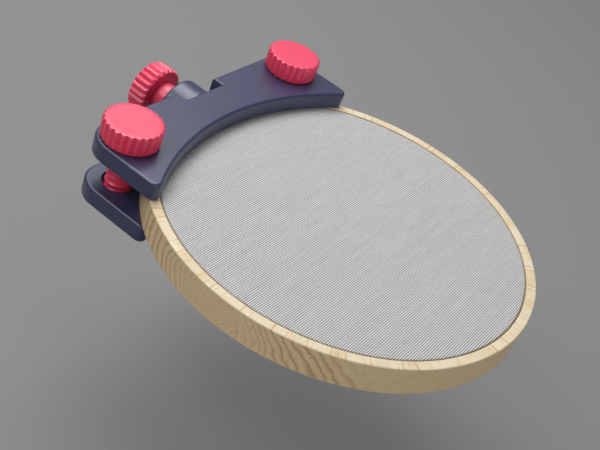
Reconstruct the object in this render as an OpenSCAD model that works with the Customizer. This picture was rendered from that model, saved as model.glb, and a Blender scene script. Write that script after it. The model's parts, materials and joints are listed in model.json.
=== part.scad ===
// Embroidery hoop held in the clamp head of its stand.
// Two curved jaws grip the rim of a wooden hoop. Two thumb screws close the jaws,
// and a third one, level with the hoop, holds the eye of the stand's arm.
// All sizes are in millimetres.

/* [Hoop] */
// Outside radius of the outer ring
hoop_r = 81; // [76:0.5:88]
// Height of the outer ring
hoop_h = 12.8; // [11.5:0.1:15]
// Wall of the outer ring
outer_wall = 4.2; // [3.8:0.1:6]
// Wall of the inner ring
inner_wall = 4.4; // [3:0.1:6]
// Radius that eases the edges of both rings
ring_ease = 0.5; // [0.3:0.1:1]
// Width of the split in the outer ring
split_w = 5; // [3:0.5:6]
// Bearing of the split, from the middle of the clamp towards the right-hand screw
split_turn = 20.5; // [19.5:0.5:21.5]

/* [Cloth] */
// Thickness of the cloth
cloth_t = 0.5; // [0.3:0.05:0.8]
// How far the taut cloth lies below the rim
cloth_drop = 0.2; // [0.1:0.05:0.8]
// Radius of the cloth's bend over the inner ring
cloth_bend = 1.2; // [1:0.1:1.8]
// How far the trimmed hem stays above the bottom of the rings
hem_back = 0.6; // [0.3:0.1:2]

/* [Jaws] */
// Length of both jaws
jaw_l = 130.5; // [127:0.5:135]
// Thickness of each jaw
jaw_t = 7.8; // [7:0.1:9]
// How far the straight outer edge lies outside the hoop
jaw_back = 4.35; // [3.8:0.05:5.5]
// How far the middle of a jaw reaches in over the hoop
jaw_grip = 17.2; // [15:0.1:20]
// Radius of the curved inner edge
jaw_arc_r = 125; // [112:1:145]
// Radius of the two outer corners
corner_r = 11.4; // [8:0.1:12]
// Radius of the two tips
tip_r = 3; // [2.2:0.1:4]
// Rounding of the long edges
edge_r = 1.2; // [0.8:0.1:1.4]
// How far the fluted heads stand in from the edges of the jaws
head_inset = 0.75; // [0.5:0.05:1.5]
// Rounding of the edges of the notch
notch_ease = 0.7; // [0.4:0.1:1]

/* [Thumb screws] */
// Radius of the fluted heads over their crests
knob_r = 11.8; // [10.5:0.1:12.5]
// Height of the fluted heads
knob_h = 8.5; // [7.5:0.1:10]
// Bevel on the rims of the heads
knob_bevel = 0.8; // [0.4:0.1:1]
// Flutes round each head
flutes = 24; // [18:1:26]
// Radius of each flute
flute_r = 0.9; // [0.7:0.05:1]
// Depth of each flute
flute_depth = 0.75; // [0.5:0.05:0.85]
// Radius of the plain collar under each head
hub_r = 6.5; // [6:0.1:7.2]
// Length of the plain collar
hub_l = 8; // [7.9:0.1:9.5]
// Radius of the shank at the bottom of its thread
shank_r = 5.5; // [4.8:0.1:5.8]
// Distance from the tip of a shank to the far face of what it screws into
tip_back = 0.6; // [0.4:0.1:1.5]
// Bevel on the tips
tip_bevel = 1; // [0.5:0.1:1.5]
// Radius of the spigot that the head is pressed on
spigot_r = 4; // [3:0.1:4.5]
// Length of the spigot
spigot_l = 5.5; // [4:0.1:6]

/* [Stand pivot] */
// Radius of the round top of the lug
lug_r = 12.5; // [12:0.1:13.5]
// Length of the lug along the pivot
lug_l = 10.7; // [9.5:0.1:13]
// Rounding of the outer rim of the lug
lug_ease = 1.2; // [0.6:0.1:1.6]

/* [Clasp] */
// Height of the clasp plates
clasp_h = 9.6; // [8:0.1:10.5]
// Thickness of the clasp plates
clasp_t = 0.8; // [0.6:0.1:1.2]
// Distance between the two ears
ear_gap = 7; // [6.5:0.1:8]
// How far the ears stand out from the ring
ear_l = 9; // [8.5:0.1:10]
// Rounding of the corners of the ears
ear_r = 2; // [1:0.1:3]
// Length of each foot along the ring
foot_l = 9; // [8:0.5:10]
// Distance from the ring to the axis of the tension screw
pull_out = 5.2; // [4.9:0.1:5.8]
// Radius of the tension screw
pull_r = 1.5; // [1.2:0.1:1.8]
// Radius of the tension screw's head
pull_head_r = 4; // [3.5:0.1:4.3]
// Height of the tension screw's head
pull_head_h = 5; // [3:0.1:5.5]
// Width of the square nut
nut_w = 6; // [5:0.1:7]
// Thickness of the square nut
nut_t = 2.5; // [2:0.1:3]
// How far the tension screw stands out of its nut
pull_end = 1.5; // [0.5:0.1:2.5]
// Radius of the tacks that hold the feet
tack_r = 0.9; // [0.6:0.05:1.1]
// Radius of the heads of the tacks
tack_head_r = 1.7; // [1.4:0.1:1.9]
// Height of the heads of the tacks
tack_head_h = 0.6; // [0.4:0.1:0.9]
// Depth of the tacks in the wood
tack_l = 3; // [2:0.1:3.2]
// Distance between the two tacks of one foot
tack_step = 5; // [4.5:0.1:5.5]

/* [Clearances] */
// Running clearance of shafts in their holes, on the radius
run_gap = 0.05; // [0.03:0.01:0.1]
// Gap between the lug and the hoop
hoop_gap = 0.3; // [0.3:0.1:0.8]
// Gap between the lug and the floor of the notch
notch_gap = 1.3; // [0.6:0.1:1.6]
// Slack of the cloth between the rings, on each side
cloth_gap = 0.1; // [0.05:0.05:0.2]
// Gap under the clasp plates and under the heads of their tacks
clasp_gap = 0.03; // [0.02:0.01:0.05]

/* [Hidden] */
$fn = 96;
over = 1;

function thousandth(size) = round(size * 1000) / 1000;

// Plan of the jaws: the hoop's centre is at x = 0, y = 0, and its top face at z = 0.
back_y = hoop_r + jaw_back;
arc_y = hoop_r - jaw_grip - jaw_arc_r;
end_x = jaw_l / 2;
corner_x = end_x - corner_r;
corner_y = back_y - corner_r;

// The round of each tip crosses the inner arc at a slight angle, so the two do not just touch.
tip_bite = 0.02;
tip_x = end_x - tip_r;
tip_y = thousandth(arc_y + sqrt(pow(jaw_arc_r + tip_r - tip_bite, 2) - pow(tip_x, 2)));
tip_bearing = atan2(tip_y - arc_y, tip_x);
tip_lap = 1;
lower_z = -hoop_h - jaw_t;

// The heads of the clamp screws stand in a little from the ends and the straight outer edge.
screw_x = end_x - knob_r - head_inset;
screw_y = back_y - knob_r - head_inset;
clamp_shank = jaw_t + hoop_h + jaw_t - hub_l - tip_back;

// The pivot lies level with the middle of the hoop, and the frame starts there.
lug_in = hoop_r + hoop_gap;
lug_out = lug_in + lug_l;
pivot_y = lug_out + hub_l / 2;
pivot_z = -hoop_h / 2;
pivot_shank = lug_l - tip_back;
notch_w = 2 * lug_r;
notch_y = lug_in - notch_gap;
mouth_r = shank_r + run_gap + 1.3;

// Rings and cloth.
cloth_r = hoop_r - outer_wall - cloth_gap;
inner_top = -cloth_drop - cloth_t;
inner_r = cloth_r - cloth_t - cloth_gap;
hem_z = hem_back - hoop_h;
bend_in = cloth_bend - cloth_t;

// Clasp, drawn at the top of the ring and then turned to its bearing.
ear_x = ear_gap / 2;
foot_turn = foot_l / hoop_r * 180 / PI;
ear_turn = asin(ear_x / hoop_r);
tack_turn = ear_turn + foot_turn * 0.62;
pull_y = hoop_r + pull_out;
pull_z = -hoop_h / 2;
pull_face = ear_x + clasp_t;
pull_len = 2 * pull_face + nut_t + pull_end;
head_z = clasp_t + 2 * clasp_gap;

navy = "#5c607d";
pink = "#ff7390";
wood = "#e5d4b3";
linen = "#cfcfcf";
brass = "#c9a45c";

module in_frame() translate([0, -pivot_y, -pivot_z]) children();

// Waste outside a rounded edge. The solid lies at negative x and y.
module edge_waste(r) {
    difference() {
        translate([-r, -r]) square(r + over);
        translate([-r, -r]) circle(r);
    }
}

module waste_along_x(x0, x1, y, z, r, side = 1) {
    translate([x0, y, z]) rotate([90, 0, 90]) linear_extrude(x1 - x0)
        mirror([side < 0 ? 1 : 0, 0]) edge_waste(r);
}

module waste_along_y(y0, y1, x, z, r, side = 1) {
    translate([x, y1, z]) rotate([90, 0, 0]) linear_extrude(y1 - y0)
        mirror([side < 0 ? 1 : 0, 0]) edge_waste(r);
}

module waste_round(x, y, z, r_plan, r, from, turn, side = 1) {
    translate([x, y, z]) rotate([0, 0, from]) rotate_extrude(angle = turn)
        translate([r_plan, 0]) mirror([side < 0 ? 1 : 0, 0]) edge_waste(r);
}

// Square with four rounded corners, standing on the x axis at x0.
module soft_bar(x0, z0, w, h, r) {
    translate([x0 + r, z0]) square([w - 2 * r, h]);
    translate([x0, z0 + r]) square([w, h - 2 * r]);
    for (x = [x0 + r, x0 + w - r], z = [z0 + r, z0 + h - r]) translate([x, z]) circle(r);
}

// Plan of a jaw with its rounded corners and tips.
module jaw_plan() {
    difference() {
        translate([-end_x, 0]) square([jaw_l, back_y]);
        translate([0, arc_y]) circle(jaw_arc_r, $fn = 360);
        for (s = [0, 1]) mirror([s, 0]) {
            translate([corner_x, corner_y]) difference() {
                square(corner_r + over);
                circle(corner_r);
            }
            difference() {
                polygon([[tip_x, tip_y], [end_x + over, tip_y], [end_x + over, 0], [tip_x - tip_r, 0],
                         [tip_x - tip_r * cos(tip_bearing), tip_y - tip_r * sin(tip_bearing)]]);
                translate([tip_x, tip_y]) circle(tip_r);
            }
        }
    }
}

// Rounding of the upper edge of a jaw, all round its plan.
module jaw_rim_waste(z) {
    waste_along_x(-corner_x, corner_x, back_y, z, edge_r);
    waste_round(0, arc_y, z, jaw_arc_r, edge_r, tip_bearing - tip_lap,
                180 - 2 * (tip_bearing - tip_lap), -1, $fn = 360);
    for (s = [0, 1]) mirror([s, 0, 0]) {
        waste_along_y(tip_y, corner_y, end_x, z, edge_r);
        waste_round(corner_x, corner_y, z, corner_r, edge_r, 0, 90);
        translate([0, 2 * tip_y, 0]) mirror([0, 1, 0])
            waste_round(tip_x, tip_y, z, tip_r, edge_r, 0, 180 - tip_bearing);
    }
}

module jaw_plate() {
    difference() {
        linear_extrude(jaw_t) jaw_plan();
        jaw_rim_waste(jaw_t);
        translate([0, 0, jaw_t]) mirror([0, 0, 1]) jaw_rim_waste(jaw_t);
    }
}

// Lug with a round top and straight flanks down to the underside of the jaw.
module lug() {
    difference() {
        union() {
            translate([0, lug_in, pivot_z]) rotate([-90, 0, 0]) cylinder(r = lug_r, h = lug_l);
            translate([-lug_r, lug_in, lower_z]) cube([2 * lug_r, lug_l, pivot_z - lower_z]);
        }
        translate([0, lug_out, pivot_z]) rotate([-90, 0, 0]) mirror([0, 1, 0])
            rotate_extrude(angle = 180) translate([lug_r, 0]) edge_waste(lug_ease);
        for (s = [0, 1]) mirror([s, 0, 0])
            translate([lug_r, lug_out, lower_z]) linear_extrude(pivot_z - lower_z) edge_waste(lug_ease);
    }
}

module tapped_hole(depth) {
    translate([0, 0, -depth - over]) cylinder(r = shank_r + run_gap, h = depth + 2 * over);
    translate([0, 0, shank_r - mouth_r]) cylinder(r1 = shank_r, r2 = mouth_r, h = mouth_r - shank_r);
}

module lower_jaw() {
    color(navy) in_frame() difference() {
        union() {
            translate([0, 0, lower_z]) jaw_plate();
            lug();
        }
        for (x = [-screw_x, screw_x]) translate([x, screw_y, -hoop_h]) tapped_hole(jaw_t);
        translate([0, lug_out, pivot_z]) rotate([-90, 0, 0]) tapped_hole(lug_l);
    }
}

module upper_jaw() {
    color(navy) in_frame() difference() {
        jaw_plate();
        for (x = [-screw_x, screw_x]) translate([x, screw_y, -over])
            cylinder(r = hub_r + run_gap, h = jaw_t + 2 * over);
        translate([-notch_w / 2, notch_y, -over]) cube([notch_w, back_y, jaw_t + 2 * over]);
        waste_along_x(-notch_w / 2, notch_w / 2, notch_y, jaw_t, notch_ease);
        for (s = [0, 1]) mirror([s, 0, 0])
            waste_along_y(notch_y, back_y, notch_w / 2, jaw_t, notch_ease, -1);
    }
}

// Fluted head with a blind socket for the spigot. It stands on z = 0.
module knob() {
    difference() {
        rotate_extrude() polygon([[0, 0], [knob_r - knob_bevel, 0], [knob_r, knob_bevel],
                                  [knob_r, knob_h - knob_bevel], [knob_r - knob_bevel, knob_h], [0, knob_h]]);
        for (i = [0 : flutes - 1]) rotate(i * 360 / flutes)
            translate([knob_r + flute_r - flute_depth, 0, -over])
                cylinder(r = flute_r, h = knob_h + 2 * over, $fn = 24);
        translate([0, 0, -over]) cylinder(r = spigot_r + run_gap, h = spigot_l + run_gap + over);
    }
}

// Thumb screw without its head. The collar's upper face is at z = 0.
module thumb_screw(shank_l) {
    cylinder(r = spigot_r, h = spigot_l);
    translate([0, 0, -hub_l]) cylinder(r = hub_r, h = hub_l);
    translate([0, 0, -hub_l - shank_l + tip_bevel]) cylinder(r = shank_r, h = shank_l - tip_bevel + over);
    translate([0, 0, -hub_l - shank_l]) cylinder(r1 = shank_r - tip_bevel, r2 = shank_r, h = tip_bevel);
}

module at_clamp(side) in_frame() translate([side * screw_x, screw_y, jaw_t]) children();
module at_pivot() in_frame() translate([0, lug_out + hub_l, pivot_z]) rotate([-90, 0, 0]) children();

module clamp_screw(side) color(pink) at_clamp(side) thumb_screw(clamp_shank);
module clamp_knob(side) color(pink) at_clamp(side) knob();
module pivot_screw() color(pink) at_pivot() thumb_screw(pivot_shank);
module pivot_knob() color(pink) at_pivot() knob();

module at_clasp() in_frame() rotate(-split_turn) children();

module tack_places() {
    for (s = [-1, 1], z = [-1, 1]) rotate(s * tack_turn)
        translate([0, hoop_r, pull_z + z * tack_step / 2]) rotate([-90, 0, 0]) children();
}

module outer_ring() {
    color(wood) at_clasp() difference() {
        rotate_extrude($fn = 360) soft_bar(hoop_r - outer_wall, -hoop_h, outer_wall, hoop_h, ring_ease);
        translate([-split_w / 2, 0, -hoop_h - over]) cube([split_w, hoop_r + over, hoop_h + 2 * over]);
        tack_places() translate([0, 0, -tack_l - run_gap])
            cylinder(r = tack_r + run_gap, h = tack_l + run_gap + over, $fn = 24);
    }
}

module inner_ring() {
    color(wood) in_frame() rotate_extrude($fn = 360)
        soft_bar(inner_r - inner_wall, -hoop_h, inner_wall, inner_top + hoop_h, bend_in);
}

// Taut disc that bends down over the inner ring into a hem between the rings.
module cloth() {
    color(linen) in_frame() rotate_extrude($fn = 360) {
        translate([0, -cloth_drop - cloth_t]) square([cloth_r - cloth_bend, cloth_t]);
        translate([cloth_r - cloth_t, hem_z]) square([cloth_t, -cloth_drop - cloth_bend - hem_z]);
        translate([cloth_r - cloth_bend, -cloth_drop - cloth_bend]) intersection() {
            difference() {
                circle(cloth_bend);
                circle(bend_in);
            }
            square(cloth_bend + over);
        }
    }
}

// Angle plate: a foot bent to the ring and a flat ear with a hole for the screw.
module clasp(side) {
    color(brass) at_clasp() mirror([side < 0 ? 1 : 0, 0, 0]) difference() {
        union() {
            rotate(90 - ear_turn - foot_turn) rotate_extrude(angle = foot_turn, $fn = 360)
                translate([hoop_r + clasp_gap, pull_z - clasp_h / 2]) square([clasp_t, clasp_h]);
            translate([ear_x, hoop_r, pull_z]) rotate([90, 0, 90]) linear_extrude(clasp_t) ear_plan();
        }
        translate([ear_x - over, pull_y, pull_z]) rotate([0, 90, 0])
            cylinder(r = pull_r + run_gap, h = clasp_t + 2 * over, $fn = 32);
        tack_places() translate([0, 0, -over]) cylinder(r = tack_r + run_gap, h = clasp_t + 2 * over, $fn = 24);
    }
}

module ear_plan() {
    translate([0, -clasp_h / 2]) square([ear_l - ear_r, clasp_h]);
    translate([0, ear_r - clasp_h / 2]) square([ear_l, clasp_h - 2 * ear_r]);
    for (z = [-1, 1]) translate([ear_l - ear_r, z * (clasp_h / 2 - ear_r)]) circle(ear_r, $fn = 32);
}

module clasp_tacks() {
    color(brass) at_clasp() tack_places() {
        translate([0, 0, -tack_l]) cylinder(r = tack_r, h = tack_l + head_z + tack_head_h / 2, $fn = 24);
        translate([0, 0, head_z]) cylinder(r = tack_head_r, h = tack_head_h, $fn = 24);
    }
}

module at_pull() at_clasp() translate([-pull_face, pull_y, pull_z]) rotate([0, 90, 0]) children();

module tension_screw() {
    color(brass) at_pull() difference() {
        union() {
            cylinder(r = pull_r, h = pull_len, $fn = 32);
            translate([0, 0, -pull_head_h]) cylinder(r = pull_head_r, h = pull_head_h, $fn = 48);
        }
        translate([-pull_head_r - over, -0.5, -pull_head_h - over])
            cube([2 * (pull_head_r + over), 1, 1 + over]);
    }
}

module tension_nut() {
    color(brass) at_pull() difference() {
        translate([-nut_w / 2, -nut_w / 2, 2 * pull_face]) cube([nut_w, nut_w, nut_t]);
        cylinder(r = pull_r + run_gap, h = pull_len + over, $fn = 32);
    }
}

lower_jaw();
upper_jaw();
clamp_screw(-1);  // clamp_screw_left
clamp_screw(1);  // clamp_screw_right
clamp_knob(-1);  // clamp_knob_left
clamp_knob(1);  // clamp_knob_right
pivot_screw();
pivot_knob();
outer_ring();
inner_ring();
cloth();
clasp(-1);  // clasp_left
clasp(1);  // clasp_right
clasp_tacks();
tension_screw();
tension_nut();
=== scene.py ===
import json
import math

import bmesh
import bpy
from mathutils import Matrix, Vector


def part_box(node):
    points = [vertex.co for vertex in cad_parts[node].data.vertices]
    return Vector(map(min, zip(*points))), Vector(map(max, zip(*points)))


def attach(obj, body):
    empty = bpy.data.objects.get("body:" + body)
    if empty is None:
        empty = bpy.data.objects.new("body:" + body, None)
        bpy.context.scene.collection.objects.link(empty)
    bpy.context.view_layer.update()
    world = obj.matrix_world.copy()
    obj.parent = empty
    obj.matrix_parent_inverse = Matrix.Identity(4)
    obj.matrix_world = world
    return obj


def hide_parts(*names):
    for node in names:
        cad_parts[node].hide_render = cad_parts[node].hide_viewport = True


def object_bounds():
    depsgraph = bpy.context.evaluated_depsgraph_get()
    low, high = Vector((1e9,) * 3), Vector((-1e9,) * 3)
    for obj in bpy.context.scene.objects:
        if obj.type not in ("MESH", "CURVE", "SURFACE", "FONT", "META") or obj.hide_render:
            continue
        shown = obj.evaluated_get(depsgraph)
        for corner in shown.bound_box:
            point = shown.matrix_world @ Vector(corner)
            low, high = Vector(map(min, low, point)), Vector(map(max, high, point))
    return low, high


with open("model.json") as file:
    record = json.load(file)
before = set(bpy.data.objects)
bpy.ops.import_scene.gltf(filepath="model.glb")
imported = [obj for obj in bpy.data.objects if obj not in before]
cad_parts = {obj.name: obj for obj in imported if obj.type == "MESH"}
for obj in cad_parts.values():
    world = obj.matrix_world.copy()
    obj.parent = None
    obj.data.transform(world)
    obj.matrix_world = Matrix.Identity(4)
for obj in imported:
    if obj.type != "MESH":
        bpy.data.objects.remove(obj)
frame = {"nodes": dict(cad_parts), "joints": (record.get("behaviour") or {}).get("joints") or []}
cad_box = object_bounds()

MM = 0.001

# Sizes that the frame gives
JOINTS = {joint["name"]: joint for joint in frame["joints"]}
ring_low, ring_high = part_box("outer_ring")
HOOP_R = (ring_high.x - ring_low.x) / 2
HOOP_Y = ring_low.y + HOOP_R
HOOP_MID = (ring_high.z + ring_low.z) / 2
HOOP_H = ring_high.z - ring_low.z
cloth_low, cloth_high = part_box("cloth")
CLOTH_R = (cloth_high.x - cloth_low.x) / 2

# Sizes of what is modelled here, in millimetres as the construction has them. A slope is the
# rise of a groove's wall for each millimetre to the side.
KNOB_R, KNOB_H, FOOT_BEVEL, TOP_BEVEL = 11.8, 8.5, 1.0, 0.5
FLUTES, FLUTE_DEPTH, FLUTE_SLOPE, FLUTE_ROUNDING = 24, 1.05, 0.95, 0.08
SOCKET_R, SOCKET_DEPTH, SPIGOT_PLAY = 4.05, 5.55, 0.05
HUB_R, HUB_L, PIVOT_SHANK_R, CLAMP_SHANK_R = 6.5, 8.0, 5.5, 4.5
THREAD_PITCH, THREAD_DEPTH, THREAD_END = 3.0, 0.3, 1.4
CLOTH_T, CLOTH_BEND = 0.5, 1.2
PULL_HEAD_R, PULL_HEAD_H, PULL_R = 4.0, 5.0, 1.5
KNURLS, KNURL_DEPTH, KNURL_SLOPE, KNURL_ROUNDING = 30, 0.22, 0.9, 0.02
SLOT_W, SLOT_DEPTH = 1.0, 1.0

# Nearly all of a noise texture lies between these values
NOISE_LOW, NOISE_HIGH = 0.3, 0.7


# Colours and nodes

def linear(code):
    """A colour written as sRGB hex, as the linear value that a shader takes."""
    parts = [int(code[i:i + 2], 16) / 255 for i in (1, 3, 5)]
    return [p / 12.92 if p <= 0.04045 else ((p + 0.055) / 1.055) ** 2.4 for p in parts] + [1.0]


def add(tree, kind, inputs=None, steps=(), **settings):
    """A new node of a tree. Each input is a value or another node's output, and the steps of
    a colour ramp are (place, sRGB hex) pairs."""
    made = tree.nodes.new(kind)
    for name, value in settings.items():
        setattr(made, name, value)
    for name, value in (inputs or {}).items():
        if isinstance(value, bpy.types.NodeSocket):
            tree.links.new(value, made.inputs[name])
        else:
            made.inputs[name].default_value = value
    if steps:
        marks = made.color_ramp.elements
        while len(marks) < len(steps):
            marks.new(1.0)
        for mark, (place, code) in zip(marks, steps):
            mark.position = place
            mark.color = linear(code)
    return made


def start_material(name):
    """A material with an empty tree, that tree and its Object coordinates."""
    made = bpy.data.materials.new(name)
    made.use_nodes = True
    tree = made.node_tree
    tree.nodes.clear()
    return made, tree, add(tree, "ShaderNodeTexCoord").outputs["Object"]


def close_material(tree, surface, height=None):
    """The shader and the output of a material. The height is in metres."""
    if height is not None:
        bump = add(tree, "ShaderNodeBump", {"Height": height, "Strength": 1.0, "Distance": 1.0})
        surface["Normal"] = bump.outputs["Normal"]
    shader = add(tree, "ShaderNodeBsdfPrincipled", surface)
    add(tree, "ShaderNodeOutputMaterial", {"Surface": shader.outputs["BSDF"]})


# Materials

def moulded_abs(name, deep, pale, roughness):
    """Injection-moulded ABS with a smooth skin over a satin body, and a faint orange peel."""
    peel_mm, peel_depth_mm, cloud_mm, polish_spread = 1.2, 0.0012, 18.0, 0.03
    made, tree, place = start_material(name)
    peel = add(tree, "ShaderNodeTexNoise", {
        "Vector": place, "Scale": 1 / (peel_mm * MM), "Detail": 2.0})
    clouds = add(tree, "ShaderNodeTexNoise", {
        "Vector": place, "Scale": 1 / (cloud_mm * MM), "Detail": 3.0})
    tint = add(tree, "ShaderNodeValToRGB", {"Fac": clouds.outputs["Fac"]},
               [(0.35, deep), (0.65, pale)])
    polish = add(tree, "ShaderNodeMapRange", {
        "Value": peel.outputs["Fac"], "From Min": NOISE_LOW, "From Max": NOISE_HIGH,
        "To Min": roughness - polish_spread, "To Max": roughness + polish_spread})
    height = add(tree, "ShaderNodeMath", {
        0: peel.outputs["Fac"], 1: peel_depth_mm * MM}, operation="MULTIPLY")
    close_material(tree, {
        "Base Color": tint.outputs["Color"], "Roughness": polish.outputs["Result"], "IOR": 1.54,
        "Coat Weight": 0.35, "Coat Roughness": 0.3}, height.outputs["Value"])
    return made


def bent_pine(name, dark, mid, light, rim, eye_deg, eye_mm):
    """Steam-bent pine, sanded and waxed. A flat-sawn strip shows round eyes of growth rings,
    which open out along the strip into slanting bands, and plain fine grain elsewhere. The
    sawn rims are paler and show only the fine grain, crossed by dark rays. An eye lies at a
    bearing on the ring and a height in millimetres over its middle."""
    # In millimetres of the strip, or for each of its millimetres
    waves_per_mm, wave_shift = 0.11, 5.0
    lean_at_eye, lean_growth = 0.45, 0.012
    drawn_along, drawn_across = 0.55, 0.8
    eye_size, ring_count, ring_reach = 5.7, 11.0, 33.0
    fibres_per_mm, rays_per_mm = (0.12, 3.0, 1.0), (1.6, 0.22, 1.0)
    cuts_per_mm = (0.8, 0.05, 1.0)
    rim_start, rim_full = 0.55 * MM, 0.2 * MM
    # How much the bands darken the wall, the waves the rim, and how deep the grain is
    band_share, wave_share, ridge_depth = 0.85, 0.8, 0.03 * MM
    made, tree, place = start_material(name)
    centred = add(tree, "ShaderNodeMapping", {
        "Vector": place, "Location": (0.0, -HOOP_Y, -HOOP_MID)})
    to_eye = add(tree, "ShaderNodeMapping", {
        "Vector": centred.outputs["Vector"], "Rotation": (0.0, 0.0, -math.radians(eye_deg))})
    split = add(tree, "ShaderNodeSeparateXYZ", {"Vector": to_eye.outputs["Vector"]})
    bearing = add(tree, "ShaderNodeMath", {
        0: split.outputs["Y"], 1: split.outputs["X"]}, operation="ARCTAN2")
    along = add(tree, "ShaderNodeMath", {
        0: bearing.outputs["Value"], 1: HOOP_R / MM}, operation="MULTIPLY")
    outward = add(tree, "ShaderNodeVectorMath", {0: add(tree, "ShaderNodeCombineXYZ", {
        "X": split.outputs["X"], "Y": split.outputs["Y"]}).outputs["Vector"]}, operation="LENGTH")
    inward = add(tree, "ShaderNodeMath", {
        0: HOOP_R, 1: outward.outputs["Value"]}, operation="SUBTRACT")
    across = add(tree, "ShaderNodeMath", {
        0: split.outputs["Z"], 1: inward.outputs["Value"]}, operation="SUBTRACT")
    across_mm = add(tree, "ShaderNodeMath", {
        0: across.outputs["Value"], 1: 1 / MM, 2: -eye_mm}, operation="MULTIPLY_ADD")
    strip = add(tree, "ShaderNodeCombineXYZ", {
        "X": along.outputs["Value"], "Y": across_mm.outputs["Value"]})

    # The strip, in millimetres, is bent by slow waves before the rings are drawn
    waves = add(tree, "ShaderNodeTexNoise", {
        "Vector": strip.outputs["Vector"], "Scale": waves_per_mm, "Detail": 2.0,
        "Roughness": 0.5})
    shift = add(tree, "ShaderNodeVectorMath", {
        0: waves.outputs["Color"], 1: (0.5, 0.5, 0.5)}, operation="SUBTRACT")
    waved = add(tree, "ShaderNodeVectorMath", {
        0: shift.outputs["Vector"], 1: (wave_shift, wave_shift, 0.0),
        2: strip.outputs["Vector"]}, operation="MULTIPLY_ADD")
    bent = add(tree, "ShaderNodeSeparateXYZ", {"Vector": waved.outputs["Vector"]})
    lean = add(tree, "ShaderNodeMath", {
        0: bent.outputs["X"], 1: lean_growth, 2: lean_at_eye}, operation="MULTIPLY_ADD")
    leaning = add(tree, "ShaderNodeMath", {
        0: bent.outputs["Y"], 1: lean.outputs["Value"], 2: bent.outputs["X"]},
        operation="MULTIPLY_ADD")
    across_eye = add(tree, "ShaderNodeMath", {
        0: bent.outputs["Y"], 1: drawn_across}, operation="MULTIPLY")
    along_eye = add(tree, "ShaderNodeMath", {
        0: leaning.outputs["Value"], 1: drawn_along}, operation="MULTIPLY")
    reach = add(tree, "ShaderNodeVectorMath", {0: add(tree, "ShaderNodeCombineXYZ", {
        "X": along_eye.outputs["Value"], "Y": across_eye.outputs["Value"]}).outputs["Vector"]},
        operation="LENGTH")

    # Rings are 1 mm apart in the eye and about 5 mm apart where the strip runs out of it
    widened = add(tree, "ShaderNodeMath", {
        0: reach.outputs["Value"], 1: 1 / eye_size, 2: 1.0}, operation="MULTIPLY_ADD")
    spaced = add(tree, "ShaderNodeMath", {
        0: widened.outputs["Value"], 1: math.e}, operation="LOGARITHM")
    counted = add(tree, "ShaderNodeMath", {
        0: spaced.outputs["Value"], 1: ring_count}, operation="MULTIPLY")
    ring = add(tree, "ShaderNodeMath", {0: counted.outputs["Value"]}, operation="FRACT")
    late = add(tree, "ShaderNodeValToRGB", {"Fac": ring.outputs["Value"]}, [
        (0.0, "#000000"), (0.45, "#404040"), (0.82, "#ffffff"), (0.97, "#000000")])
    run_out = add(tree, "ShaderNodeMath", {
        0: reach.outputs["Value"], 1: 1 / ring_reach}, operation="MULTIPLY")
    strength = add(tree, "ShaderNodeValToRGB", {"Fac": run_out.outputs["Value"]}, [
        (0.0, "#707070"), (0.25, "#686868"), (0.5, "#c0c0c0"), (0.75, "#c8c8c8"),
        (1.0, "#202020")])
    off_middle = add(tree, "ShaderNodeMath", {0: split.outputs["Z"]}, operation="ABSOLUTE")
    on_wall = add(tree, "ShaderNodeMapRange", {
        "Value": off_middle.outputs["Value"], "From Min": HOOP_H / 2 - rim_start,
        "From Max": HOOP_H / 2 - rim_full, "To Min": 1.0, "To Max": 0.0}).outputs["Result"]
    ring_band = add(tree, "ShaderNodeMath", {
        0: late.outputs["Color"], 1: strength.outputs["Color"]}, operation="MULTIPLY")
    band = add(tree, "ShaderNodeMath", {
        0: ring_band.outputs["Value"], 1: on_wall}, operation="MULTIPLY")

    # Fine fibres along the strip, drawn 0.3 mm wide so that they show
    fibre_place = add(tree, "ShaderNodeVectorMath", {
        0: waved.outputs["Vector"], 1: fibres_per_mm}, operation="MULTIPLY")
    fibres = add(tree, "ShaderNodeTexNoise", {
        "Vector": fibre_place.outputs["Vector"], "Scale": 1.0, "Detail": 4.0, "Roughness": 0.6})
    # Short dark ray marks across the grain, 4 mm long and a few millimetres apart
    ray_place = add(tree, "ShaderNodeVectorMath", {
        0: waved.outputs["Vector"], 1: rays_per_mm}, operation="MULTIPLY")
    rays = add(tree, "ShaderNodeTexNoise", {
        "Vector": ray_place.outputs["Vector"], "Scale": 1.0, "Detail": 2.0, "Roughness": 0.5})
    ray_mark = add(tree, "ShaderNodeMapRange", {
        "Value": rays.outputs["Fac"], "From Min": 0.60, "From Max": 0.74,
        "To Min": 0.0, "To Max": 0.28})
    grain = add(tree, "ShaderNodeMapRange", {
        "Value": fibres.outputs["Fac"], "From Min": 0.25, "From Max": 0.75,
        "To Min": 0.0, "To Max": 0.30})
    marks = add(tree, "ShaderNodeMath", {
        0: grain.outputs["Result"], 1: ray_mark.outputs["Result"]}, operation="ADD")
    tone = add(tree, "ShaderNodeMath", {
        0: band.outputs["Value"], 1: band_share, 2: marks.outputs["Value"]},
        operation="MULTIPLY_ADD")
    wall_tint = add(tree, "ShaderNodeValToRGB", {"Fac": tone.outputs["Value"]}, [
        (0.0, light), (0.35, mid), (1.0, dark)])
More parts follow.
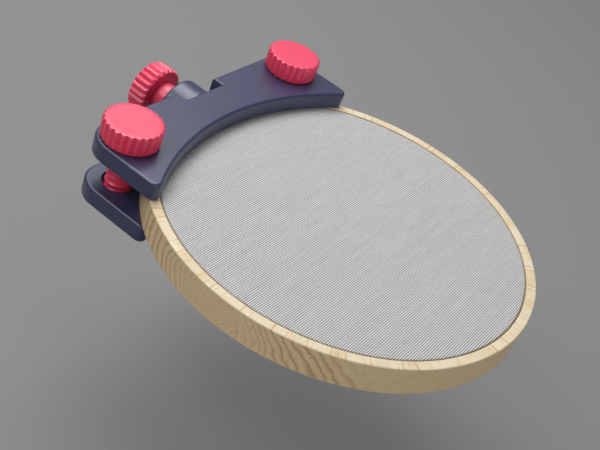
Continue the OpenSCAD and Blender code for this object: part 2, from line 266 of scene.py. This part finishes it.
    # The rim has only fine grain and a dark ray across it every few millimetres
    cut_place = add(tree, "ShaderNodeVectorMath", {
        0: strip.outputs["Vector"], 1: cuts_per_mm}, operation="MULTIPLY")
    cuts = add(tree, "ShaderNodeTexNoise", {
        "Vector": cut_place.outputs["Vector"], "Scale": 1.0, "Detail": 3.0, "Roughness": 0.6})
    cut_mark = add(tree, "ShaderNodeMapRange", {
        "Value": cuts.outputs["Fac"], "From Min": 0.55, "From Max": 0.68,
        "To Min": 0.0, "To Max": 0.65})
    rim_marks = add(tree, "ShaderNodeMath", {
        0: cut_mark.outputs["Result"], 1: grain.outputs["Result"]}, operation="ADD")
    rim_tone = add(tree, "ShaderNodeMath", {
        0: waves.outputs["Fac"], 1: wave_share, 2: rim_marks.outputs["Value"]},
        operation="MULTIPLY_ADD")
    rim_tint = add(tree, "ShaderNodeValToRGB", {"Fac": rim_tone.outputs["Value"]},
                   [(0.38, rim), (1.0, mid)])
    tint = add(tree, "ShaderNodeMix", {
        0: on_wall, 6: rim_tint.outputs["Color"], 7: wall_tint.outputs["Color"]},
        data_type="RGBA").outputs[2]
    height = add(tree, "ShaderNodeMath", {
        0: tone.outputs["Value"], 1: -ridge_depth}, operation="MULTIPLY")
    close_material(tree, {"Base Color": tint, "Roughness": 0.55, "IOR": 1.5},
                   height.outputs["Value"])
    return made


def evenweave_cotton(name, thread, shade, hem):
    """Plain-woven cotton, stretched tight: matt threads 0.8 mm apart, one over, one under.
    The gaps between the threads are painted shade, painted deeper beside the threads across the
    hoop, which lie across the light. The hem colour is painted shade of the gap at the rim."""
    pitch, thread_rise = 0.806 * MM, 0.12 * MM
    # How deep the painted shade between the threads goes, across the hoop and along it
    weft_shade, warp_shade = 0.9, 0.5
    slubs_per_m, slub_share = (60.0, 900.0, 60.0), 0.14
    # Where the painted shade of the gap at the rim begins, where it is full, and how strong it gets
    rim_shade_start, rim_shade_full, rim_shade_share = 0.8 * MM, 0.3 * MM, 0.75
    made, tree, place = start_material(name)
    centred = add(tree, "ShaderNodeMapping", {
        "Vector": place, "Location": (0.0, -HOOP_Y, 0.0)})
    turns = add(tree, "ShaderNodeVectorMath", {
        0: centred.outputs["Vector"], 1: (math.pi / pitch,) * 3}, operation="MULTIPLY")
    split = add(tree, "ShaderNodeSeparateXYZ", {"Vector": turns.outputs["Vector"]})
    warp = add(tree, "ShaderNodeMath", {0: split.outputs["X"]}, operation="SINE")
    weft = add(tree, "ShaderNodeMath", {0: split.outputs["Y"]}, operation="SINE")
    warp_round = add(tree, "ShaderNodeMath", {0: warp.outputs["Value"]}, operation="ABSOLUTE")
    weft_round = add(tree, "ShaderNodeMath", {0: weft.outputs["Value"]}, operation="ABSOLUTE")
    crossing = add(tree, "ShaderNodeMath", {
        0: warp.outputs["Value"], 1: weft.outputs["Value"]}, operation="MULTIPLY")
    over = add(tree, "ShaderNodeMath", {
        0: crossing.outputs["Value"], 1: 0.5, 2: 0.5}, operation="MULTIPLY_ADD")
    warp_top = add(tree, "ShaderNodeMath", {
        0: warp_round.outputs["Value"], 1: over.outputs["Value"]}, operation="MULTIPLY")
    under = add(tree, "ShaderNodeMath", {0: 1.0, 1: over.outputs["Value"]}, operation="SUBTRACT")
    weft_top = add(tree, "ShaderNodeMath", {
        0: weft_round.outputs["Value"], 1: under.outputs["Value"]}, operation="MULTIPLY")
    top = add(tree, "ShaderNodeMath", {
        0: warp_top.outputs["Value"], 1: weft_top.outputs["Value"]}, operation="MAXIMUM")
    weft_gap = add(tree, "ShaderNodeMath", {
        0: weft_round.outputs["Value"], 1: weft_shade}, operation="POWER")
    warp_gap = add(tree, "ShaderNodeMath", {
        0: warp_round.outputs["Value"], 1: warp_shade}, operation="POWER")
    both = add(tree, "ShaderNodeMath", {
        0: weft_gap.outputs["Value"], 1: warp_gap.outputs["Value"]}, operation="MULTIPLY")
    slub = add(tree, "ShaderNodeTexNoise", {
        "Vector": add(tree, "ShaderNodeVectorMath", {
            0: centred.outputs["Vector"], 1: slubs_per_m},
            operation="MULTIPLY").outputs["Vector"],
        "Scale": 1.0, "Detail": 2.0})
    uneven = add(tree, "ShaderNodeMath", {
        0: slub.outputs["Fac"], 1: slub_share, 2: both.outputs["Value"]},
        operation="MULTIPLY_ADD")
    # Painted shade in the gaps between the threads, from the shade colour up to the thread colour
    woven = add(tree, "ShaderNodeValToRGB", {"Fac": uneven.outputs["Value"]},
                [(0.10, shade), (0.95, thread)])
    # The last millimetre, where the cloth goes down behind the rim, gets painted shade of the gap
    # there, in the hem colour
    out = add(tree, "ShaderNodeVectorMath", {0: add(tree, "ShaderNodeVectorMath", {
        0: centred.outputs["Vector"], 1: (1.0, 1.0, 0.0)}, operation="MULTIPLY").outputs["Vector"]},
        operation="LENGTH")
    rim_shaded = add(tree, "ShaderNodeMapRange", {
        "Value": out.outputs["Value"], "From Min": CLOTH_R - rim_shade_start,
        "From Max": CLOTH_R - rim_shade_full, "To Min": 0.0, "To Max": rim_shade_share})
    tint = add(tree, "ShaderNodeMix", {
        0: rim_shaded.outputs["Result"], 6: woven.outputs["Color"], 7: linear(hem)},
        data_type="RGBA").outputs[2]
    height = add(tree, "ShaderNodeMath", {
        0: top.outputs["Value"], 1: thread_rise}, operation="MULTIPLY")
    close_material(tree, {
        "Base Color": tint, "Roughness": 0.9, "Sheen Weight": 0.15, "Sheen Roughness": 0.5,
        "Specular IOR Level": 0.3}, height.outputs["Value"])
    return made


def turned_brass(name):
    """Pressed and turned brass, lacquered: bright yellow metal with a faintly uneven polish."""
    mark_mm, tarnish_mm = 0.25, 6.0
    made, tree, place = start_material(name)
    marks = add(tree, "ShaderNodeTexNoise", {
        "Vector": place, "Scale": 1 / (mark_mm * MM), "Detail": 3.0})
    tarnish = add(tree, "ShaderNodeTexNoise", {
        "Vector": place, "Scale": 1 / (tarnish_mm * MM), "Detail": 3.0})
    tint = add(tree, "ShaderNodeValToRGB", {"Fac": tarnish.outputs["Fac"]},
               [(0.35, "#b08d4a"), (0.7, "#d8b56e")])
    polish = add(tree, "ShaderNodeMapRange", {
        "Value": marks.outputs["Fac"], "From Min": NOISE_LOW, "From Max": NOISE_HIGH,
        "To Min": 0.22, "To Max": 0.38})
    close_material(tree, {
        "Base Color": tint.outputs["Color"], "Metallic": 1.0,
        "Roughness": polish.outputs["Result"]})
    return made


navy_abs = moulded_abs("navy_abs", "#303558", "#353a5d", 0.34)
pink_abs = moulded_abs("pink_abs", "#f44166", "#f8496e", 0.36)
outer_pine = bent_pine("outer_ring_pine", "#8a6a41", "#d4b687", "#f1d9ae", "#f0e3c6", 178.0, 0.0)
inner_pine = bent_pine("inner_ring_pine", "#94774c", "#cfb283", "#e8cfa4", "#ebdec2", 40.0, 1.5)
# The last colour given to the cotton is the painted shade in the gap by the rim
cotton = evenweave_cotton("evenweave_cotton", "#f2f1f0", "#403e3e", "#6b563c")
brass = turned_brass("turned_brass")


# Meshes

def turned(name, outline, around, close_low=True, close_high=True):
    """A shape turned about the z axis. The outline is a list of (radius, height) in millimetres."""
    verts, faces = [], []
    for r, z in outline:
        for i in range(around):
            a = 2 * math.pi * i / around
            verts.append((r * MM * math.cos(a), r * MM * math.sin(a), z * MM))
    for row in range(len(outline) - 1):
        for i in range(around):
            j = (i + 1) % around
            low, high = row * around, (row + 1) * around
            faces.append((low + i, low + j, high + j, high + i))
    for wanted, row, sign in ((close_low, 0, -1), (close_high, len(outline) - 1, 1)):
        if wanted:
            pole = len(verts)
            verts.append((0.0, 0.0, outline[row][1] * MM))
            for i in range(around):
                a, b = row * around + i, row * around + (i + 1) % around
                faces.append((a, b, pole) if sign > 0 else (b, a, pole))
    mesh = bpy.data.meshes.new(name)
    mesh.from_pydata(verts, [], faces)
    mesh.update()
    made = bpy.data.objects.new(name, mesh)
    bpy.context.scene.collection.objects.link(made)
    return made


def bow(cx, cz, r, start, end, steps):
    """Points of a round from one bearing to another, in degrees, for an outline."""
    turns = [math.radians(start + (end - start) * i / steps) for i in range(steps + 1)]
    return [(cx + r * math.cos(t), cz + r * math.sin(t)) for t in turns]


def shape_tree(name, sockets):
    """An empty Geometry Nodes tree with a geometry in and out, and named sizes."""
    tree = bpy.data.node_groups.new(name, "GeometryNodeTree")
    tree.interface.new_socket("Geometry", in_out="INPUT", socket_type="NodeSocketGeometry")
    ids = {}
    for label, kind in sockets:
        ids[label] = tree.interface.new_socket(label, in_out="INPUT", socket_type=kind).identifier
    tree.interface.new_socket("Geometry", in_out="OUTPUT", socket_type="NodeSocketGeometry")
    return tree, tree.nodes.new("NodeGroupInput").outputs, ids


def close_tree(tree, geometry, material):
    """Realize Instances and Set Material end each tree."""
    whole = add(tree, "GeometryNodeRealizeInstances", {"Geometry": geometry})
    finished = add(tree, "GeometryNodeSetMaterial", {
        "Geometry": whole.outputs["Geometry"], "Material": material})
    add(tree, "NodeGroupOutput", {"Geometry": finished.outputs["Geometry"]})


def shaped(piece, tree, ids, sizes):
    """The piece as a plain mesh, after the tree with these sizes has worked on it."""
    step = piece.modifiers.new(tree.name, "NODES")
    step.node_group = tree
    for label, value in sizes.items():
        step[ids[label]] = value
    seen = piece.evaluated_get(bpy.context.evaluated_depsgraph_get())
    mesh = bpy.data.meshes.new_from_object(seen)
    piece.modifiers.remove(step)
    piece.data = mesh
    return piece


def finish_piece(piece, body, node=None, edge_deg=40):
    """Smooth shading with crisp edges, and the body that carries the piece."""
    piece.data.shade_smooth()
    piece.data.set_sharp_from_angle(angle=math.radians(edge_deg))
    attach(piece, body)
    if node:
        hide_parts(node)


# Flutes: V grooves with slightly rounded roots, pressed into a turned shape

def flute_tree():
    """Draws each point in to the wall of the nearest groove, where it lies outside that wall."""
    sizes = [("Count", "NodeSocketInt"), ("Root radius", "NodeSocketFloat"),
             ("Wall slope", "NodeSocketFloat"), ("Root rounding", "NodeSocketFloat"),
             ("Material", "NodeSocketMaterial")]
    tree, given, ids = shape_tree("flutes", sizes)
    point = add(tree, "GeometryNodeInputPosition").outputs["Position"]
    split = add(tree, "ShaderNodeSeparateXYZ", {"Vector": point})
    bearing = add(tree, "ShaderNodeMath", {
        0: split.outputs["Y"], 1: split.outputs["X"]}, operation="ARCTAN2")
    half = add(tree, "ShaderNodeMath", {0: math.pi, 1: given["Count"]}, operation="DIVIDE")
    other_half = add(tree, "ShaderNodeMath", {
        0: half.outputs["Value"], 1: -1.0}, operation="MULTIPLY")
    from_groove = add(tree, "ShaderNodeMath", {
        0: bearing.outputs["Value"], 1: half.outputs["Value"], 2: other_half.outputs["Value"]},
        operation="WRAP").outputs["Value"]
    flat_point = add(tree, "ShaderNodeCombineXYZ", {
        "X": split.outputs["X"], "Y": split.outputs["Y"]})
    radius = add(tree, "ShaderNodeVectorMath", {
        0: flat_point.outputs["Vector"]}, operation="LENGTH")
    aside = add(tree, "ShaderNodeMath", {
        0: from_groove, 1: radius.outputs["Value"]}, operation="MULTIPLY")
    rounded = add(tree, "ShaderNodeVectorMath", {0: add(tree, "ShaderNodeCombineXYZ", {
        "X": aside.outputs["Value"], "Y": given["Root rounding"]}).outputs["Vector"]},
        operation="LENGTH")
    wall = add(tree, "ShaderNodeMath", {
        0: rounded.outputs["Value"], 1: given["Wall slope"], 2: given["Root radius"]},
        operation="MULTIPLY_ADD")
    share = add(tree, "ShaderNodeMath", {
        0: wall.outputs["Value"], 1: radius.outputs["Value"]}, operation="DIVIDE")
    drawn_in = add(tree, "ShaderNodeMath", {0: share.outputs["Value"], 1: 1.0}, operation="MINIMUM")
    scale = add(tree, "ShaderNodeCombineXYZ", {
        "X": drawn_in.outputs["Value"], "Y": drawn_in.outputs["Value"], "Z": 1.0})
    moved = add(tree, "ShaderNodeVectorMath", {
        0: point, 1: scale.outputs["Vector"]}, operation="MULTIPLY")
    pressed = add(tree, "GeometryNodeSetPosition", {
        "Geometry": given["Geometry"], "Position": moved.outputs["Vector"]})
    close_tree(tree, pressed.outputs["Geometry"], given["Material"])
    return tree, ids


FLUTE_TREE, FLUTE_IDS = flute_tree()


def knob_outline():
    """Half section of a head, from the end of its socket round to its top. The shares of the
    radius are rings that divide the flat faces, and the top is dished a little."""
    r, h, soft, dish, mouth, bevel_rows = KNOB_R, KNOB_H, 0.12, 0.05, 0.35, 5

    def bevelled(bevel):
        edge = [(r - bevel - soft, 0.0), (r - bevel + soft / 2, soft / 2)]
        edge += [(r - bevel * (1 - k / bevel_rows), bevel * k / bevel_rows)
                 for k in range(1, bevel_rows)]
        return edge + [(r - soft / 2, bevel - soft / 2), (r, bevel + soft)]

    socket = [(SOCKET_R, SOCKET_DEPTH), (SOCKET_R, mouth), (SOCKET_R + mouth, 0.0)]
    low = bevelled(FOOT_BEVEL)
    high = [(x, h - z) for x, z in reversed(bevelled(TOP_BEVEL))]
    top = [(r * 0.8, h), (r * 0.55, h - dish * 0.5), (r * 0.2, h - dish)]
    return socket + [(r * 0.7, 0.0)] + low + [(r, h / 2)] + high + top


def placed(piece, origin, direction):
    """Moves a piece's mesh from the z axis to an axis of the object."""
    turn = Vector((0, 0, 1)).rotation_difference(Vector(direction)).to_matrix().to_4x4()
    piece.data.transform(Matrix.Translation(origin) @ turn)


def thumb_head(name, node, body, joint):
    """A fluted head. Its base is the low end of the node along the axis."""
    points_per_flute = 20
    axis = Vector(JOINTS[joint]["axis"])
    low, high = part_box(node)
    centre = (low + high) / 2
    base = centre - axis * (KNOB_H * MM / 2)
    piece = turned(name, knob_outline(), FLUTES * points_per_flute)
    shaped(piece, FLUTE_TREE, FLUTE_IDS, {
        "Count": FLUTES, "Root radius": (KNOB_R - FLUTE_DEPTH) * MM, "Wall slope": FLUTE_SLOPE,
        "Root rounding": FLUTE_ROUNDING * MM, "Material": pink_abs})
    placed(piece, base, axis)
    finish_piece(piece, body, node, edge_deg=50)
    return base, axis


# Threads: a ridge wound round each shank

def thread_tree():
    """Winds a ridge round a shank, which starts and ends in almost nothing."""
    faded_part, faint, foot_share, crest_share = 0.06, 0.05, 0.72, 0.22
    sizes = [("Length", "NodeSocketFloat"), ("Pitch", "NodeSocketFloat"),
             ("Shank radius", "NodeSocketFloat"), ("Depth", "NodeSocketFloat"),
             ("Material", "NodeSocketMaterial")]
    tree, given, ids = shape_tree("rolled_thread", sizes)
    turns = add(tree, "ShaderNodeMath", {
        0: given["Length"], 1: given["Pitch"]}, operation="DIVIDE")
    coil = add(tree, "GeometryNodeCurveSpiral", {
        "Resolution": 64, "Rotations": turns.outputs["Value"],
        "Start Radius": given["Shank radius"], "End Radius": given["Shank radius"],
        "Height": given["Length"], "Reverse": True})
    upright = add(tree, "GeometryNodeSetCurveNormal", {
        "Curve": coil.outputs["Curve"]}, mode="Z_UP")
    passed = add(tree, "GeometryNodeSplineParameter").outputs["Factor"]
    fade_in = add(tree, "ShaderNodeMapRange", {
        "Value": passed, "From Min": 0.0, "From Max": faded_part,
        "To Min": faint, "To Max": 1.0})
    fade_out = add(tree, "ShaderNodeMapRange", {
        "Value": passed, "From Min": 1.0 - faded_part, "From Max": 1.0,
        "To Min": 1.0, "To Max": faint})
    fade = add(tree, "ShaderNodeMath", {
        0: fade_in.outputs["Result"], 1: fade_out.outputs["Result"]}, operation="MINIMUM")
    foot = add(tree, "ShaderNodeMath", {
        0: given["Pitch"], 1: foot_share}, operation="MULTIPLY")
    crest = add(tree, "ShaderNodeMath", {
        0: given["Pitch"], 1: crest_share}, operation="MULTIPLY")
    # Half of the ridge stands in the shank
    height = add(tree, "ShaderNodeMath", {
        0: given["Depth"], 1: 2.0}, operation="MULTIPLY")
    ridge = add(tree, "GeometryNodeCurvePrimitiveQuadrilateral", {
        "Bottom Width": foot.outputs["Value"], "Top Width": crest.outputs["Value"],
        "Height": height.outputs["Value"], "Offset": 0.0}, mode="TRAPEZOID")
    wound = add(tree, "GeometryNodeCurveToMesh", {
        "Curve": upright.outputs["Curve"], "Profile Curve": ridge.outputs["Curve"],
        "Scale": fade.outputs["Value"], "Fill Caps": True})
    close_tree(tree, wound.outputs["Mesh"], given["Material"])
    return tree, ids


THREAD_TREE, THREAD_IDS = thread_tree()


def tip_of(node, base, axis):
    """Where a screw's tip is, along its axis from the foot of its head."""
    low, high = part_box(node)
    return min((low - base).dot(axis), (high - base).dot(axis))


def clamp_shank(name, body, base, axis, node):
    """Collar and shank of a clamp screw. The shank is slimmer than its tapped hole, whose
    mouth shows beside it, and the spigot on top goes into the head."""
    tip, r, spigot = tip_of(node, base, axis) / MM, CLAMP_SHANK_R, SOCKET_R - SPIGOT_PLAY
    soft, tip_bevel, around = 0.3, 1.0, 96
    outline = [(r - tip_bevel, tip), (r, tip + tip_bevel), (r, -HUB_L - soft),
               (r + soft, -HUB_L), (HUB_R - soft, -HUB_L), (HUB_R, -HUB_L + soft),
               (HUB_R, 0.0), (spigot, 0.0), (spigot, SOCKET_DEPTH - 2 * soft),
               (spigot - soft, SOCKET_DEPTH - SPIGOT_PLAY)]
    piece = turned(name, outline, around)
    piece.data.materials.append(pink_abs)
    placed(piece, base, axis)
    finish_piece(piece, body, node, edge_deg=35)


def thread(name, body, base, axis, node, shank_r):
    """The thread of one thumb screw, from its collar to just above its tip. The tree makes
    the whole of it, so that the drum it starts from is of any size."""
    start = base - axis * (HUB_L * MM)
    length = -tip_of(node, base, axis) - HUB_L * MM - THREAD_END * MM
    piece = turned(name, [(1.0, 0.0), (1.0, 1.0)], 8)
    shaped(piece, THREAD_TREE, THREAD_IDS, {
        "Length": length, "Pitch": THREAD_PITCH * MM, "Shank radius": shank_r * MM,
        "Depth": THREAD_DEPTH * MM, "Material": pink_abs})
    placed(piece, start, -axis)
    finish_piece(piece, body, edge_deg=30)


for side in ("left", "right"):
    body, screw = f"{side}_thumb_screw", f"clamp_screw_{side}"
    base, axis = thumb_head(f"fluted_head_{side}", f"clamp_knob_{side}", body,
                            f"{side}_screw_turn")
    clamp_shank(f"screw_shank_{side}", body, base, axis, screw)
    thread(f"screw_thread_{side}", body, base, axis, screw, CLAMP_SHANK_R)
base, axis = thumb_head("fluted_head_pivot", "pivot_knob", "pivot_head", "pivot_knob_turn")
thread("screw_thread_pivot", "pivot_stud", base, axis, "pivot_screw", PIVOT_SHANK_R)


# Cloth: one taut disc, bent down over the inner ring into its hem

def cloth_sheet():
    """The outline runs from the hem to the middle. Its open edge, at the hem, is closed when
    the cloth gets its thickness."""
    rings, bend_steps, around = 12, 8, 240
    hem = (cloth_low.z - cloth_high.z) / MM
    rim = CLOTH_R / MM
    before_bend = 0.8
    outline = [(rim * k / rings, 0.0) for k in range(1, rings - 1)]
    outline += [(rim - CLOTH_BEND - before_bend, 0.0)]
    outline += bow(rim - CLOTH_BEND, -CLOTH_BEND, CLOTH_BEND, 90, 0, bend_steps)
    outline += [(rim, hem * 0.4), (rim, hem * 0.7), (rim, hem)]
    outline.reverse()
    piece = turned("stretched_cloth", outline, around, close_low=False)
    piece.data.transform(Matrix.Translation((0.0, HOOP_Y, cloth_high.z)))
    thickness = piece.modifiers.new("cloth_thickness", "SOLIDIFY")
    thickness.thickness = CLOTH_T * MM
    thickness.offset = -1.0
    piece.data.materials.append(cotton)
    finish_piece(piece, "hoop", "cloth", edge_deg=60)


cloth_sheet()


# Tension screw: a slotted, knurled brass head on a plain shank

def cut_slot(piece, half_length):
    """Saws a screwdriver slot across the low end of a turned piece. Half of its length is
    given in millimetres."""
    x, y, low, high = half_length * MM, SLOT_W / 2 * MM, -SLOT_DEPTH * MM, SLOT_DEPTH * MM
    corners = [(-x, -y, low), (x, -y, low), (x, y, low), (-x, y, low),
               (-x, -y, high), (x, -y, high), (x, y, high), (-x, y, high)]
    sides = [(3, 2, 1, 0), (4, 5, 6, 7), (0, 1, 5, 4), (1, 2, 6, 5), (2, 3, 7, 6), (3, 0, 4, 7)]
    mesh = bpy.data.meshes.new("saw")
    mesh.from_pydata(corners, [], sides)
    saw = bpy.data.objects.new("saw", mesh)
    bpy.context.scene.collection.objects.link(saw)
    cut = piece.modifiers.new("slot", "BOOLEAN")
    cut.operation = "DIFFERENCE"
    cut.solver = "EXACT"
    cut.object = saw
    seen = piece.evaluated_get(bpy.context.evaluated_depsgraph_get())
    slotted = bpy.data.meshes.new_from_object(seen)
    piece.modifiers.remove(cut)
    # The cut leaves points on its edges that lie less than this apart
    gap_mm = 0.0001
    joined = bmesh.new()
    joined.from_mesh(slotted)
    bmesh.ops.remove_doubles(joined, verts=joined.verts, dist=gap_mm * MM)
    joined.to_mesh(slotted)
    joined.free()
    piece.data = slotted
    bpy.data.objects.remove(saw)


def tension_screw():
    axis = -Vector(JOINTS["tension_screw_turn"]["axis"])
    low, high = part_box("tension_screw")
    centre = (low + high) / 2
    # Its length follows from the width of its box, less what the head's slant adds to that
    along = abs(Vector((axis.x, axis.y, 0)).normalized().x)
    total = ((high.x - low.x) / MM - 2 * PULL_HEAD_R * math.sqrt(1 - along ** 2)) / along
    r, h, soft, steps, points_per_knurl, overcut = PULL_HEAD_R, PULL_HEAD_H, 0.3, 3, 8, 0.1
    outline = [(r * 0.15, 0.0), (r * 0.6, 0.0)] + bow(r - soft, soft, soft, -90, 0, steps)
    outline += [(r, h / 2)] + bow(r - soft, h - soft, soft, 0, 90, steps)
    outline += [(PULL_R, h), (PULL_R, total - soft), (PULL_R - soft, total)]
    piece = turned("knurled_tension_screw", outline, KNURLS * points_per_knurl)
    shaped(piece, FLUTE_TREE, FLUTE_IDS, {
        "Count": KNURLS, "Root radius": (r - KNURL_DEPTH) * MM, "Wall slope": KNURL_SLOPE,
        "Root rounding": KNURL_ROUNDING * MM, "Material": brass})
    cut_slot(piece, r + overcut)
    placed(piece, centre - axis * (total * MM / 2), axis)
    finish_piece(piece, "hoop_screw", "tension_screw", edge_deg=35)


tension_screw()


# Finishes of the parts that keep their construction

FINISHES = {
    "lower_jaw": (navy_abs, "navy_plastic"), "upper_jaw": (navy_abs, "navy_plastic"),
    "pivot_screw": (pink_abs, "pink_plastic"),
    "outer_ring": (outer_pine, "hoop_wood"), "inner_ring": (inner_pine, "hoop_wood"),
    "clasp_left": (brass, "clasp_brass"), "clasp_right": (brass, "clasp_brass"),
    "clasp_tacks": (brass, "clasp_brass"), "tension_nut": (brass, "clasp_brass"),
}
for node, (material, slot) in FINISHES.items():
    part = frame["nodes"][node]
    part.data.materials.clear()
    part.data.materials.append(material)


# Floor, light and camera

def seen_background(tree):
    """One for what the camera sees straight, in a glossy surface or through a clear one."""
    path = add(tree, "ShaderNodeLightPath")
    straight_or_gloss = add(tree, "ShaderNodeMath", {
        0: path.outputs["Is Camera Ray"], 1: path.outputs["Is Glossy Ray"]},
        operation="MAXIMUM")
    return add(tree, "ShaderNodeMath", {
        0: straight_or_gloss.outputs["Value"], 1: path.outputs["Is Transmission Ray"]},
        operation="MAXIMUM").outputs["Value"]


def plain_floor(tone):
    """A wide pale floor below the object. Part of what shows of it is an even tone, so that it
    doesn't darken far from the lamps, and the rest is lit and takes the object's shadow."""
    drop, size, even_part = 95 * MM, 6.0, 0.3
    mesh = bpy.data.meshes.new("floor")
    z = cad_box[0].z - drop
    mesh.from_pydata([(-size, -size, z), (size, -size, z), (size, size, z), (-size, size, z)],
                     [], [(0, 1, 2, 3)])
    floor = bpy.data.objects.new("floor", mesh)
    bpy.context.scene.collection.objects.link(floor)
    made, tree, _ = start_material("pale_floor")
    lit = add(tree, "ShaderNodeBsdfPrincipled", {"Base Color": linear(tone), "Roughness": 1.0})
    even = add(tree, "ShaderNodeEmission", {"Color": linear(tone), "Strength": 1.0})
    even_share = add(tree, "ShaderNodeMath", {
        0: seen_background(tree), 1: even_part}, operation="MULTIPLY")
    mixed = add(tree, "ShaderNodeMixShader", {
        0: even_share.outputs["Value"], 1: lit.outputs["BSDF"], 2: even.outputs["Emission"]})
    add(tree, "ShaderNodeOutputMaterial", {"Surface": mixed.outputs["Shader"]})
    mesh.materials.append(made)


def soft_light(name, direction, distance, width, depth, power):
    """A softbox that looks at the middle of the object, its width level."""
    lamp = bpy.data.lights.new(name, "AREA")
    lamp.shape = "RECTANGLE"
    lamp.size = width
    lamp.size_y = depth
    lamp.energy = power
    made = bpy.data.objects.new(name, lamp)
    bpy.context.scene.collection.objects.link(made)
    back = Vector(direction).normalized()
    made.location = AIM + back * distance
    made.rotation_mode = "QUATERNION"
    made.rotation_quaternion = back.to_track_quat("Z", "Y")


def studio_world(tone, strength):
    """An even grey surround. The camera, gloss and glass see the background tone."""
    world = bpy.data.worlds.new("studio")
    bpy.context.scene.world = world
    world.use_nodes = True
    tree = world.node_tree
    tree.nodes.clear()
    light = add(tree, "ShaderNodeBackground", {"Color": linear("#ffffff"), "Strength": strength})
    back = add(tree, "ShaderNodeBackground", {"Color": linear(tone), "Strength": 1.0})
    chosen = add(tree, "ShaderNodeMixShader", {
        0: seen_background(tree), 1: light.outputs["Background"], 2: back.outputs["Background"]})
    add(tree, "ShaderNodeOutputWorld", {"Surface": chosen.outputs["Shader"]})


EYE = Vector((-322.1, -210.6, 241.7)) * MM
AIM = Vector((-12.2, -83.8, -2.6)) * MM
ROLL_DEG = 22.83
LENS_MM, SENSOR_MM = 62.75, 36.0

plain_floor(tone="#909090")
soft_light("overhead", (0.22, 0.42, 0.88), distance=0.9, width=0.65, depth=0.6, power=6.05)
soft_light("front_fill", (-0.58, -0.80, 0.12), distance=1.2, width=1.0, depth=1.0, power=3.8)
soft_light("back_fill", (-0.54, 0.38, 0.74), distance=1.1, width=0.5, depth=0.5, power=3.3)
soft_light("far_sheen", (0.50, 0.56, 0.66), distance=1.2, width=0.7, depth=0.7, power=0.65)
studio_world(tone="#8a8a8a", strength=0.2)

camera = bpy.data.objects.new("camera", bpy.data.cameras.new("camera"))
bpy.context.scene.collection.objects.link(camera)
camera.data.lens = LENS_MM
camera.data.sensor_width = SENSOR_MM
camera.data.clip_start = 0.01
camera.location = EYE
camera.rotation_mode = "QUATERNION"
camera.rotation_quaternion = (AIM - EYE).to_track_quat("-Z", "Y")
camera.rotation_quaternion.rotate(Matrix.Rotation(-math.radians(ROLL_DEG), 3, AIM - EYE))
bpy.context.scene.camera = camera
bpy.context.scene.view_settings.view_transform = "Standard"
